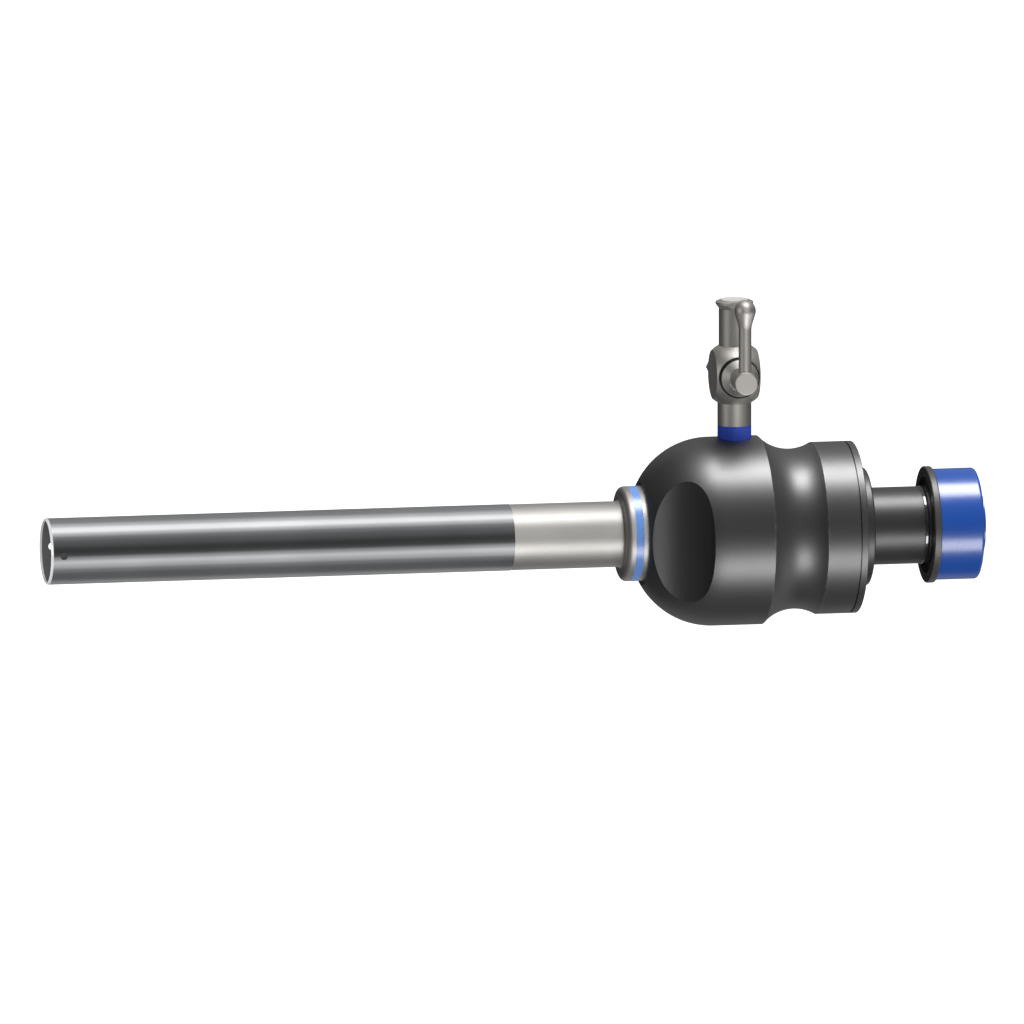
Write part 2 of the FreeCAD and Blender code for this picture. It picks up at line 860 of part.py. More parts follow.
def neck_nut(doc, d, at):
    end = at.cover_face + d.nut_width
    nut_radius = at.neck_radius + d.nut_height
    return turned(doc, "neck_nut", [
        (at.cover_face, at.neck_bore),
        (end, at.neck_bore),
        (end, nut_radius - d.nut_round, d.nut_round),
        (end - d.nut_round, nut_radius),
        (at.cover_face, nut_radius),
    ])


# Seal cap assembly

def cap_holder(doc, d, at):
    """Flange with its recess, the sleeve that slips over the neck and the barb."""
    flange_radius = at.cap_radius + d.flange_step
    recess_radius = at.neck_bore + d.recess_width
    barb_start = at.cap + d.barb_place
    barb_end = barb_start + d.barb_length
    barb_radius = at.holder_sleeve + d.barb_height
    return turned(doc, "cap_holder", [
        (at.holder + d.recess_depth, at.neck_bore),
        (at.holder_wall, at.neck_bore),
        (at.holder_wall, at.holder_hole),
        (at.lip_seal, at.holder_hole),
        (at.lip_seal, at.holder_sleeve),
        (barb_end, at.holder_sleeve),
        (barb_start, barb_radius),
        (barb_start, at.holder_sleeve),
        (at.cap, at.holder_sleeve),
        (at.cap, flange_radius - d.flange_round, d.flange_round),
        (at.cap - d.flange_round, flange_radius),
        (at.holder + d.flange_round, flange_radius, d.flange_round),
        (at.holder, flange_radius - d.flange_round),
        (at.holder, recess_radius),
        (at.holder + d.recess_depth, recess_radius),
    ])


def lip_seal(doc, d, at):
    """Thin silicone washer that closes on the instrument, between holder and cap."""
    hole = d.cap_hole_radius - d.lip_squeeze
    return turned(doc, "lip_seal", [
        (at.lip_seal, hole),
        (at.lip_seal + d.lip_edge_thickness, hole),
        (at.cap_wall, at.holder_hole),
        (at.cap_wall, at.holder_sleeve),
        (at.lip_seal, at.holder_sleeve),
    ])


def seal_cap(doc, d, at):
    """Silicone cap that grips the holder's sleeve, with a raised ring round its hole."""
    sleeve_bore = at.holder_sleeve + d.ring_play
    barb_start = at.cap + d.barb_place - d.ring_play
    barb_end = at.cap + d.barb_place + d.barb_length
    ring_face = at.cap_face + d.lip_ring_height
    ring_radius = d.cap_hole_radius + d.lip_ring_width
    return turned(doc, "seal_cap", [
        (at.cap, sleeve_bore),
        (barb_start, sleeve_bore),
        (barb_start, sleeve_bore + d.barb_height),
        (barb_end, sleeve_bore),
        (at.cap_wall, sleeve_bore),
        (at.cap_wall, d.cap_hole_radius),
        (ring_face - d.cap_funnel, d.cap_hole_radius, -d.cap_funnel),
        (ring_face, d.cap_hole_radius + d.cap_funnel),
        (ring_face, ring_radius),
        (at.cap_face, ring_radius),
        (at.cap_face, at.cap_radius - d.cap_round, d.cap_round),
        (at.cap_face - d.cap_round, at.cap_radius),
        (at.cap, at.cap_radius),
    ])


def neck_oring(doc, d, at):
    return seal_ring(doc, "neck_oring", d, at.cap + d.neck_groove_place,
                     at.neck_radius - d.ring_groove_depth, at.neck_bore)


# Stopcock

def stopcock_body(doc, d, at):
    """Stem with its spigot, ball, luer socket and lock lugs, turned about the stem."""
    tube_radius = d.luer_mouth_radius + d.luer_wall
    lug_radius = tube_radius + d.luer_lug_reach
    rim_radius = d.luer_mouth_radius + d.luer_rim_width
    stem_meets = at.plug - beside(d.body_radius, d.stem_radius)
    tube_meets = at.plug + beside(d.body_radius, tube_radius)
    luer_floor = at.luer_top - d.luer_depth
    luer_floor_radius = d.luer_mouth_radius - d.luer_depth * d.luer_taper
    lug_high = at.luer_top - d.luer_lug_edge
    lug_low = at.luer_top - d.luer_lug_drop
    groove_low = at.spigot_end + d.stem_groove_place
    groove_high = groove_low + d.stem_groove_width
    groove_floor = at.spigot_radius - d.stem_groove_depth
    stopcock = turned(doc, "stopcock_body", [
        (at.spigot_end, d.gas_radius),
        (luer_floor, d.gas_radius),
        (luer_floor, luer_floor_radius),
        (at.luer_top, d.luer_mouth_radius),
        (at.luer_top, rim_radius),
        (lug_high, lug_radius),
        (lug_high - d.luer_lug_edge, lug_radius),
        (lug_low, tube_radius),
        (tube_meets, tube_radius, d.body_radius),
        (at.plug, d.body_radius, d.body_radius),
        (stem_meets, d.stem_radius),
        (at.stem, d.stem_radius),
        (at.stem, at.spigot_radius),
        (groove_high, at.spigot_radius),
        (groove_high, groove_floor),
        (groove_low, groove_floor),
        (groove_low, at.spigot_radius),
        (at.spigot_end, at.spigot_radius),
    ], along="Z", place=(at.stopcock, 0, 0))
    stopcock_flats(stopcock, d, at)
    plug_bore(stopcock, d, at)
    return stopcock


def stopcock_flats(stopcock, d, at):
    """Flats at both sides of the ball and behind it, and across the lock lugs."""
    low = at.plug - d.body_radius
    high = at.plug + d.body_radius
    far = d.body_radius + d.cutter_reach
    lug_flat = d.luer_mouth_radius + d.luer_wall + d.luer_lug_flat
    lug_low = at.luer_top - d.luer_lug_drop

    def sides(sketch):
        outline(sketch, box_corners(d.body_flat, low, far, high))
        outline(sketch, box_corners(-far, low, -d.body_flat, high))

    def rear(sketch):
        outline(sketch, box_corners(d.plug_rear_flat, low, far, high))

    def lugs(sketch):
        outline(sketch, box_corners(lug_flat, lug_low, far, at.luer_top))
        outline(sketch, box_corners(-far, lug_low, -lug_flat, at.luer_top))

    through_cut(stopcock, "XZ_Plane", sides)
    through_cut(stopcock, "YZ_Plane", rear)
    through_cut(stopcock, "YZ_Plane", lugs)


def plug_bore(stopcock, d, at):
    """Tapered bore along Y with a round recess for the plug's head."""
    outside = d.body_radius + d.cutter_reach
    taper = (d.plug_front_radius - d.plug_rear_radius) / (d.plug_seat + d.plug_rear_flat)
    far_radius = d.plug_rear_radius - taper * (outside - d.plug_rear_flat)
    recess = d.plug_front_radius + d.plug_head_step + d.plug_head_gap
    groove_about(stopcock, "YZ_Plane", (0, at.plug), [
        (-outside, at.plug),
        (outside, at.plug),
        (outside, at.plug + far_radius + d.running_gap),
        (-d.plug_seat, at.plug + d.plug_front_radius + d.running_gap),
        (-d.plug_seat, at.plug + recess),
        (-outside, at.plug + recess),
    ])


def stem_oring(doc, d, at):
    middle = at.spigot_end + d.stem_groove_place + d.stem_groove_width / 2
    return seal_ring(doc, "stem_oring", d, at.stopcock,
                     at.spigot_radius - d.stem_groove_depth, at.spigot_radius + d.fit_gap,
                     middle)


def stopcock_base_ring(doc, d, at):
    return turned(doc, "stopcock_base_ring", box_corners(
        at.foot_ring, at.spigot_radius + d.fit_gap, at.stem, d.stem_radius),
        along="Z", place=(at.stopcock, 0, 0))


def stopcock_plug(doc, d, at):
    """Tapered plug, shoulder, hub for the lever and screwed tail, drawn along Y."""
    head_start = -d.plug_seat - d.fit_gap
    head_end = -d.plug_seat - d.plug_head_width
    cone_end = head_end - d.plug_cone_width
    head_radius = d.plug_front_radius + d.plug_head_step
    tail_end = at.plug_nut + d.plug_nut_width + d.plug_tail_stand
    plug = turned(doc, "stopcock_plug", [
        (-at.hub_end, 0),
        (tail_end, 0),
        (tail_end, d.plug_tail_radius),
        (d.plug_rear_flat, d.plug_tail_radius),
        (d.plug_rear_flat, d.plug_rear_radius),
        (head_start, d.plug_front_radius),
        (head_start, head_radius),
        (head_end, head_radius),
        (cone_end, d.plug_cone_radius),
        (cone_end, d.plug_hub_radius),
        (d.plug_hub_round - at.hub_end, d.plug_hub_radius, d.plug_hub_round),
        (-at.hub_end, d.plug_hub_radius - d.plug_hub_round),
    ], along="Y", place=(at.stopcock, 0, at.plug))
    through_cut(plug, "XY_Plane", lambda sketch: circle(sketch, 0, 0, d.gas_radius))
    lever_hole(plug, d)
    return plug


def lever_hole(plug, d):
    """Blind hole for the lever's rod, from the plug's middle up through its hub."""
    before = volume_of(plug)
    sketch = new_sketch(plug, "XY_Plane")
    circle(sketch, 0, -d.lever_reach, d.lever_radius)
    depth = d.plug_hub_radius + d.cutter_reach
    cut = plug.newObject("PartDesign::Pocket", "lever_hole")
    cut.Profile = sketch
    cut.Length = depth.value
    cut.setExpression("Length", depth.formula)
    cut.Reversed = True
    check_cut(plug, before)


def lever(doc, d, at):
    """Round rod with the pear-shaped knob, standing in the plug's hub."""
    ball = d.knob_top - d.knob_radius
    shoulder_radius = beside(d.knob_radius, d.knob_shoulder)
    return turned(doc, "lever", [
        (0, 0),
        (d.knob_top, 0, d.knob_radius),
        (ball, d.knob_radius, d.knob_radius),
        (ball - d.knob_shoulder, shoulder_radius),
        (d.knob_top - d.knob_length, d.lever_radius),
        (0, d.lever_radius),
    ], along="Z", place=(at.stopcock, -d.lever_reach, at.plug))


def plug_washer(doc, d, at):
    return turned(doc, "plug_washer", box_corners(
        at.washer, d.plug_tail_radius + d.running_gap, at.plug_nut, d.washer_radius),
        along="Y", place=(at.stopcock, 0, at.plug))


def plug_nut(doc, d, at):
    """Hexagon nut on the plug's tail, bevelled on its outer face."""
    hole = d.plug_tail_radius + d.running_gap
    end = at.plug_nut + d.plug_nut_width
    corner_radius = d.plug_nut_half_across / math.cos(math.pi / 6)
    bevel = corner_radius - d.plug_nut_half_across
    nut = turned(doc, "plug_nut", [
        (at.plug_nut, hole),
        (end, hole),
        (end, d.plug_nut_half_across),
        (end - bevel, corner_radius),
        (at.plug_nut, corner_radius),
    ], along="Y", place=(at.stopcock, 0, at.plug))

    def outside_hexagon(sketch):
        angles = [math.pi / 3 * number for number in range(6)]
        outline(sketch, [(corner_radius * math.cos(a), corner_radius * math.sin(a))
                         for a in angles])
        circle(sketch, 0, 0, corner_radius + d.cutter_reach)

    through_cut(nut, "XZ_Plane", outside_hexagon)
    return nut


PIECES = (
    cannula_tube, cannula_hub, hub_colour_ring, hub_oring,
    valve_housing, valve_seat, ring_magnet, seat_oring, hinge_pin,
    valve_flap, flap_pad, pad_rivet,
    rear_cover, cover_oring, guide_tube, guide_oring, neck_bead, neck_nut,
    cap_holder, lip_seal, seal_cap, neck_oring,
    stopcock_body, stem_oring, stopcock_base_ring,
    stopcock_plug, lever, plug_washer, plug_nut,
)


def check_document(doc, pieces):
    doc.recompute()
    for item in doc.Objects:
        if "Invalid" in item.State or "Error" in item.State:
            raise RuntimeError("%s did not compute: %s" % (item.Name, item.State))
    for piece in pieces:
        if piece.Shape.isNull() or not piece.Shape.isValid():
            raise RuntimeError("%s has no valid shape" % piece.Label)


def main():
    os.makedirs(NODE_FOLDER, exist_ok=True)
    doc = FreeCAD.newDocument("Trocar")
    driving = make_sheet(doc)
    at = Stations(driving)
    pieces = [make(doc, driving, at) for make in PIECES]
    check_document(doc, pieces)
    for piece in pieces:
        piece.Shape.exportStep(os.path.join(NODE_FOLDER, piece.Label + ".step"))
        print("%-20s %9.2f mm3, %d solid" % (piece.Label, piece.Shape.Volume,
                                            len(piece.Shape.Solids)))


main()
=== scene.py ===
"""Laparoscopic trocar: finishes, finer turned pieces, camera and light round the model."""

import math

import bmesh
import bpy
from mathutils import Matrix, Vector


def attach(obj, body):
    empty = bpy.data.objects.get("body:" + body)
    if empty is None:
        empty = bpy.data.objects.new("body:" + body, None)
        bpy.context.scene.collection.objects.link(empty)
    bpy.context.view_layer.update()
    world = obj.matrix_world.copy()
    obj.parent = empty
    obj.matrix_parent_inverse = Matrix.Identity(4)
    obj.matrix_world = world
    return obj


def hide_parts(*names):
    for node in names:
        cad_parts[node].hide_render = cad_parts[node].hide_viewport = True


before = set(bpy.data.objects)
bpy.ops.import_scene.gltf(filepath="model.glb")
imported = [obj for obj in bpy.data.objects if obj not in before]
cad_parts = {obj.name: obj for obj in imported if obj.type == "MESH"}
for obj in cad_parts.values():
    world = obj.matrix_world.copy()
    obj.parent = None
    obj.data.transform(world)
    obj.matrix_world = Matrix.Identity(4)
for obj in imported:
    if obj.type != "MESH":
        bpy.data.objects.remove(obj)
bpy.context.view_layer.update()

MM = 0.001

# The photograph's own view: its angles in degrees, and where it shows the cannula's mouth
VIEW_AZIMUTH = math.radians(-10.8)
VIEW_ELEVATION = math.radians(9.3)
PIXEL_MM = 0.17117
IMAGE_SIDE = 1024
MOUTH_PIXEL = (45.4, 551.6)
CAMERA_DISTANCE = 0.6
CAMERA_CLIP = (0.01, 10)

# Places on the part in mm: X runs along the cannula from its mouth, Z up the stopcock
BORE_RADIUS = (5.4, 5.45)
MOUTH_EDGE = (0.36, 0.42)
HOUSING_EDGES = (124.26, 133.76)
HOLDER_RIM_RADIUS = (9.7, 9.85)
BEAD_X = 152.56
STOPCOCK_X = 120.06
PLUG_AXIS_Z = 27.15
PLUG_HEAD_RADIUS = 3.45
DARK_JOINT_WIDTH = 0.3
LEVER_Y = -9.75
LUER_SOCKET_RADIUS = 2.25
LUER_SOCKET_Z = 39.2

# The studio, in metres
FLOOR_HEIGHT = -0.5
FLOOR_HALF_SIDE = 4.0
FLOOR_GLOW = 0.75
AMBIENT = 0.7
OBJECT_MIDDLE_X = 0.1
TENT_RADIUS = 0.45
TENT_STRENGTH = 2.0


# Node helpers

class Shader:
    """The nodes of one material or node group, added one after another."""

    def __init__(self, tree):
        self.tree = tree

    def add(self, kind, **settings):
        node = self.tree.nodes.new(kind)
        for name, value in settings.items():
            setattr(node, name, value)
        return node

    def link(self, source, target):
        self.tree.links.new(source, target)

    def feed(self, socket, value):
        """Links an output to the socket, or writes a plain value on it."""
        if isinstance(value, bpy.types.NodeSocket):
            self.link(value, socket)
        elif value is not None:
            socket.default_value = value

    def place(self):
        """Place on the object, in metres."""
        return self.add("ShaderNodeTexCoord").outputs["Object"]

    def split(self, vector):
        node = self.add("ShaderNodeSeparateXYZ")
        self.link(vector, node.inputs["Vector"])
        return node.outputs

    def math(self, operation, first, second=None):
        node = self.add("ShaderNodeMath", operation=operation)
        for socket, value in zip(node.inputs, (first, second)):
            self.feed(socket, value)
        return node.outputs["Value"]

    def distance(self, first, second):
        """Length of the vector that two numbers give."""
        squares = [self.math("POWER", value, 2.0) for value in (first, second)]
        return self.math("SQRT", self.math("ADD", *squares))

    def lowered(self, mask, share=1.0):
        """1 where the mask is 0, and less by the share where it is 1."""
        return self.math("SUBTRACT", 1.0, self.math("MULTIPLY", mask, share))

    def stretch(self, value, low, high, to_low, to_high):
        """Smooth step from to_low, at low, to to_high, at high."""
        node = self.add("ShaderNodeMapRange", interpolation_type="SMOOTHSTEP")
        for socket, number in zip(node.inputs, (value, low, high, to_low, to_high)):
            self.feed(socket, number)
        return node.outputs["Result"]

    def noise(self, place, scale, detail=2.0, roughness=0.5):
        node = self.add("ShaderNodeTexNoise")
        self.link(place, node.inputs["Vector"])
        self.feed(node.inputs["Scale"], scale)
        node.inputs["Detail"].default_value = detail
        node.inputs["Roughness"].default_value = roughness
        return node.outputs["Fac"]

    def scaled_vector(self, vector, factor):
        node = self.add("ShaderNodeVectorMath", operation="SCALE")
        self.link(vector, node.inputs[0])
        self.link(factor, node.inputs["Scale"])
        return node.outputs["Vector"]

    def blend_colour(self, factor, first, second):
        node = self.add("ShaderNodeMix", data_type="RGBA")
        self.feed(node.inputs["Factor"], factor)
        self.feed(node.inputs[6], first)
        self.feed(node.inputs[7], second)
        return node.outputs[2]

    def group(self, tree, **values):
        """A node group with its inputs fed; underscores stand for the spaces in their names."""
        node = self.add("ShaderNodeGroup", node_tree=tree)
        for name, value in values.items():
            self.feed(node.inputs[name.replace("_", " ")], value)
        return node.outputs


# Shared node groups

FLOAT = "NodeSocketFloat"
COLOUR = "NodeSocketColor"
VECTOR = "NodeSocketVector"
PER_MM = 1 / MM


def new_group(name, inputs, outputs):
    """An empty shader node group with the named sockets, as (tree, shader, in, out)."""
    tree = bpy.data.node_groups.new(name, "ShaderNodeTree")
    for socket_name, kind, default in inputs:
        socket = tree.interface.new_socket(socket_name, in_out="INPUT", socket_type=kind)
        if default is not None:
            socket.default_value = default
    for socket_name, kind in outputs:
        tree.interface.new_socket(socket_name, in_out="OUTPUT", socket_type=kind)
    shader = Shader(tree)
    given = shader.add("NodeGroupInput").outputs
    out = shader.add("NodeGroupOutput").inputs
    return tree, shader, given, out


def turned_lines_group():
    """Fine tool lines left by turning: they run round the axis that Stretch keeps."""
    tree, nodes, given, out = new_group(
        "turned_lines",
        [("Place", VECTOR, None), ("Stretch", VECTOR, (1, 1, 1)), ("Lines per mm", FLOAT, 8.0),
         ("Roughness", FLOAT, 0.25), ("Spread", FLOAT, 0.06)],
        [("Roughness", FLOAT), ("Height", FLOAT)])
    stretched = nodes.add("ShaderNodeVectorMath", operation="MULTIPLY")
    nodes.link(given["Place"], stretched.inputs[0])
    nodes.link(given["Stretch"], stretched.inputs[1])
    lines = nodes.noise(stretched.outputs["Vector"],
                        nodes.math("MULTIPLY", given["Lines per mm"], PER_MM), 3.0, 0.6)
    patches = nodes.noise(given["Place"], 140.0)
    mixed = nodes.math("ADD", nodes.math("SUBTRACT", lines, 0.5),
                       nodes.math("SUBTRACT", patches, 0.5))
    spread = nodes.math("MULTIPLY", mixed, given["Spread"])
    nodes.link(nodes.math("ADD", given["Roughness"], spread), out["Roughness"])
    nodes.link(lines, out["Height"])
    return tree


def moulded_skin_group():
    """Fine even texture of a moulded or blasted surface with faint cloudiness."""
    tree, nodes, given, out = new_group(
        "moulded_skin",
        [("Place", VECTOR, None), ("Grains per mm", FLOAT, 6.0), ("Roughness", FLOAT, 0.35),
         ("Spread", FLOAT, 0.05), ("Colour", COLOUR, (0.02, 0.02, 0.02, 1)),
         ("Cloud", FLOAT, 0.1)],
        [("Colour", COLOUR), ("Roughness", FLOAT), ("Height", FLOAT)])
    grain = nodes.noise(given["Place"], nodes.math("MULTIPLY", given["Grains per mm"], PER_MM))
    cloud = nodes.math("SUBTRACT", nodes.noise(given["Place"], 90.0, 3.0), 0.5)
    spread = nodes.math("MULTIPLY", cloud, given["Spread"])
    nodes.link(nodes.math("ADD", given["Roughness"], spread), out["Roughness"])
    gain = nodes.math("ADD", 1.0, nodes.math("MULTIPLY", cloud, given["Cloud"]))
    nodes.link(nodes.scaled_vector(given["Colour"], gain), out["Colour"])
    nodes.link(grain, out["Height"])
    return tree


def edge_band_group():
    """Mask that is 1 on a narrow band round the axis at one place along it."""
    tree, nodes, given, out = new_group(
        "edge_band",
        [("Along", FLOAT, 0.0), ("Edge place", FLOAT, 0.0), ("Half width", FLOAT, 0.3 * MM)],
        [("Mask", FLOAT)])
    away = nodes.math("ABSOLUTE", nodes.math("SUBTRACT", given["Along"], given["Edge place"]))
    share = nodes.math("DIVIDE", away, given["Half width"])
    nodes.link(nodes.stretch(share, 0.0, 1.0, 1.0, 0.0), out["Mask"])
    return tree


def reach_group():
    """Distance from the long axis and along it, as two plain numbers."""
    tree, nodes, given, out = new_group(
        "reach", [("Place", VECTOR, None)], [("Along", FLOAT), ("Radius", FLOAT)])
    parts = nodes.split(given["Place"])
    nodes.link(nodes.distance(parts["Y"], parts["Z"]), out["Radius"])
    nodes.link(parts["X"], out["Along"])
    return tree


TURNED_LINES = turned_lines_group()
MOULDED_SKIN = moulded_skin_group()
EDGE_BAND = edge_band_group()
REACH = reach_group()


# Finishes

# Stretch of the tool lines that leaves them running round the X or the Z axis, or round none
ROUND_X = (1.0, 0.01, 0.01)
ROUND_Z = (0.01, 0.01, 1.0)
ROUND_NONE = (1.0, 1.0, 1.0)

# Near white, a painted highlight inside the luer socket
SOCKET_PAINTED_HIGHLIGHT = (0.95, 0.94, 0.92, 1)
# Near black, painted shade in the groove round the plug head
JOINT_PAINTED_SHADE = (0.03, 0.03, 0.03, 1)


def new_material(name):
    material = bpy.data.materials.new(name)
    material.use_nodes = True
    return material, Shader(material.node_tree), material.node_tree.nodes["Principled BSDF"]


def finish_surface(nodes, surface, colour, roughness, height, depth_mm):
    """Feeds colour, roughness and a fine relief of the given depth to the surface."""
    bump = nodes.add("ShaderNodeBump")
    bump.inputs["Distance"].default_value = depth_mm * MM
    nodes.link(height, bump.inputs["Height"])
    nodes.link(bump.outputs["Normal"], surface.inputs["Normal"])
    nodes.link(colour, surface.inputs["Base Color"])
    nodes.link(roughness, surface.inputs["Roughness"])


def stained(nodes, place, colour, darker):
    """Colour of steel with faint large stains."""
    stain = nodes.noise(place, 60.0)
    return nodes.blend_colour(nodes.stretch(stain, 0.35, 0.65, 0.0, 1.0), colour, darker)


def socket_highlight_mask(nodes, place, centre, radius, highlight_from):
    """1 inside an upright round socket, above a height, where a highlight is painted; all in mm.
    """
    parts = nodes.split(place)
    away = nodes.distance(nodes.math("SUBTRACT", parts["X"], centre * MM), parts["Y"])
    return nodes.math(
        "MULTIPLY",
        nodes.stretch(away, (radius - 0.05) * MM, radius * MM, 1.0, 0.0),
        nodes.stretch(parts["Z"], (highlight_from - 1) * MM, highlight_from * MM, 0.0, 1.0))


def joint_shade_mask(nodes, place, centre, height, radius, width):
    """1 on the rim of a round face that looks along Y, where shade in the groove is painted, 0
    inside it; all in mm.
    """
    parts = nodes.split(place)
    away = nodes.distance(nodes.math("SUBTRACT", parts["X"], centre * MM),
                          nodes.math("SUBTRACT", parts["Z"], height * MM))
    return nodes.stretch(away, (radius - width) * MM, (radius - width / 2) * MM, 0.0, 1.0)


def turned_metal(name, colour, roughness, stretch, spread=0.08, lines=6.0, depth_mm=0.001,
                 socket=None, joint=None):
    """Turned steel with tool lines, and if asked a painted highlight inside a socket or painted
    shade in the groove of a joint.
    """
    material, nodes, surface = new_material(name)
    place = nodes.place()
    marks = nodes.group(TURNED_LINES, Place=place, Stretch=stretch, Lines_per_mm=lines,
                        Roughness=roughness, Spread=spread)
    shade = stained(nodes, place, colour, [c * 0.9 for c in colour[:3]] + [1.0])
    surface.inputs["Metallic"].default_value = 1.0
    # Painted highlight: the inside of the socket turns near white, with less metal so that it
    # stays bright
    if socket:
        inside = socket_highlight_mask(nodes, place, *socket)
        shade = nodes.blend_colour(inside, shade, SOCKET_PAINTED_HIGHLIGHT)
        nodes.link(nodes.lowered(inside, 0.8), surface.inputs["Metallic"])
    # Painted shade: the groove round the plug head turns near black
    if joint:
        shade = nodes.blend_colour(joint_shade_mask(nodes, place, *joint), shade, JOINT_PAINTED_SHADE)
    finish_surface(nodes, surface, shade, marks["Roughness"], marks["Height"], depth_mm)
    return material


def tube_steel():
    """Polished outside, plain drawn bore, and a painted highlight, near white, on the edge at
    the mouth.
    """
    material, nodes, surface = new_material("polished_tube_steel")
    place = nodes.place()
    marks = nodes.group(TURNED_LINES, Place=place, Stretch=ROUND_X, Lines_per_mm=4.0,
                        Roughness=0.17, Spread=0.05)
    reach = nodes.group(REACH, Place=place)
    bore = nodes.stretch(reach["Radius"], *[r * MM for r in BORE_RADIUS], 1.0, 0.0)
    edge = nodes.stretch(reach["Along"], *[x * MM for x in MOUTH_EDGE], 1.0, 0.0)
    shade = stained(nodes, place, (0.50, 0.51, 0.52, 1), (0.455, 0.465, 0.475, 1))
    shade = nodes.blend_colour(bore, shade, (0.22, 0.22, 0.225, 1))
    # Painted highlight: the edge at the mouth turns near white, with less metal so that it stays
    # bright
    shade = nodes.blend_colour(edge, shade, (0.97, 0.97, 0.98, 1))
    metal = nodes.math("MULTIPLY", nodes.lowered(bore, 0.7), nodes.lowered(edge, 0.8))
    nodes.link(metal, surface.inputs["Metallic"])
    rough = nodes.math("ADD", marks["Roughness"], nodes.math("MULTIPLY", bore, 0.3))
    finish_surface(nodes, surface, shade, rough, marks["Height"], 0.0004)
    return material


def worn_edges(nodes, place, shade, colour, edges):
    """Paler scuffs where the edges at these places along the object have been handled."""
    along = nodes.split(place)["X"]
    masks = [nodes.group(EDGE_BAND, Along=along, Edge_place=edge * MM)["Mask"]
             for edge in edges]
    wear = masks[0]
    for mask in masks[1:]:
        wear = nodes.math("MAXIMUM", wear, mask)
    scuffs = nodes.stretch(nodes.noise(place, 900.0), 0.4, 0.7, 0.1, 0.6)
    paler = [min(c * 3 + 0.02, 1) for c in colour[:3]] + [1.0]
    return nodes.blend_colour(nodes.math("MULTIPLY", wear, scuffs), shade, paler)


def moulded(name, colour, roughness, grains, depth_mm, cloud=0.1, spread=0.06, specular=0.5,
            edges=(), rim=None):
    """Moulded plastic or rubber, if asked with worn edges or a rim of another colour."""
    material, nodes, surface = new_material(name)
    place = nodes.place()
    skin = nodes.group(MOULDED_SKIN, Place=place, Grains_per_mm=grains, Roughness=roughness,
                       Spread=spread, Colour=colour, Cloud=cloud)
    surface.inputs["Specular IOR Level"].default_value = specular
    shade = skin["Colour"]
    if rim:
        radius = nodes.group(REACH, Place=place)["Radius"]
        outside = nodes.stretch(radius, *[r * MM for r in HOLDER_RIM_RADIUS], 0.0, 1.0)
        shade = nodes.blend_colour(outside, shade, rim)
    if edges:
        shade = worn_edges(nodes, place, shade, colour, edges)
    finish_surface(nodes, surface, shade, skin["Roughness"], skin["Height"], depth_mm)
    return material


STOPCOCK_STEEL = (0.64, 0.615, 0.58, 1)
LUER_SOCKET_HIGHLIGHT = (STOPCOCK_X, LUER_SOCKET_RADIUS, LUER_SOCKET_Z)
PLUG_JOINT = (STOPCOCK_X, PLUG_AXIS_Z, PLUG_HEAD_RADIUS, DARK_JOINT_WIDTH)

polished_steel = tube_steel()
satin_hub = turned_metal("satin_hub_steel", (0.62, 0.605, 0.58, 1), 0.48, ROUND_X)
satin_stopcock = turned_metal("satin_stopcock_steel", STOPCOCK_STEEL, 0.45, ROUND_Z,
                              socket=LUER_SOCKET_HIGHLIGHT)
satin_lever = turned_metal("satin_lever_steel", STOPCOCK_STEEL, 0.45, ROUND_Z)
satin_plug = turned_metal("satin_plug_steel", STOPCOCK_STEEL, 0.45, ROUND_Z, joint=PLUG_JOINT)
plain_steel = turned_metal("inner_steel", (0.55, 0.55, 0.54, 1), 0.3, ROUND_NONE,
                           spread=0.06, lines=3.0, depth_mm=0.0005)
plated_magnet = turned_metal("plated_magnet", (0.58, 0.57, 0.54, 1), 0.2, ROUND_NONE,
                             spread=0.05, lines=3.0, depth_mm=0.0005)

housing_black = moulded("housing_black", (0.012, 0.012, 0.0122, 1), 0.41, 7.0, 0.002,
                        specular=0.85, edges=HOUSING_EDGES)
neck_black = moulded("neck_black", (0.013, 0.013, 0.0132, 1), 0.41, 7.0, 0.0015)
holder_black = moulded("holder_black", (0.012, 0.012, 0.012, 1), 0.42, 7.0, 0.0015,
                       rim=(0.026, 0.025, 0.021, 1))
bead_black = moulded("bead_black", (0.012, 0.012, 0.013, 1), 0.08, 4.0, 0.0002,
                     spread=0.02, specular=1.0)
band_blue = moulded("band_light_blue", (0.085, 0.18, 0.43, 1), 0.28, 5.0, 0.0006, cloud=0.06)
ring_blue = moulded("ring_royal_blue", (0.012, 0.045, 0.36, 1), 0.3, 5.0, 0.0006, cloud=0.06)
cap_silicone = moulded("cap_blue_silicone", (0.003, 0.04, 0.215, 1), 0.27, 5.0, 0.001,
                       cloud=0.08, specular=0.65)
black_rubber = moulded("oring_rubber", (0.018, 0.018, 0.018, 1), 0.45, 8.0, 0.001)
seal_silicone = moulded("seal_silicone", (0.55, 0.56, 0.54, 1), 0.4, 6.0, 0.001)

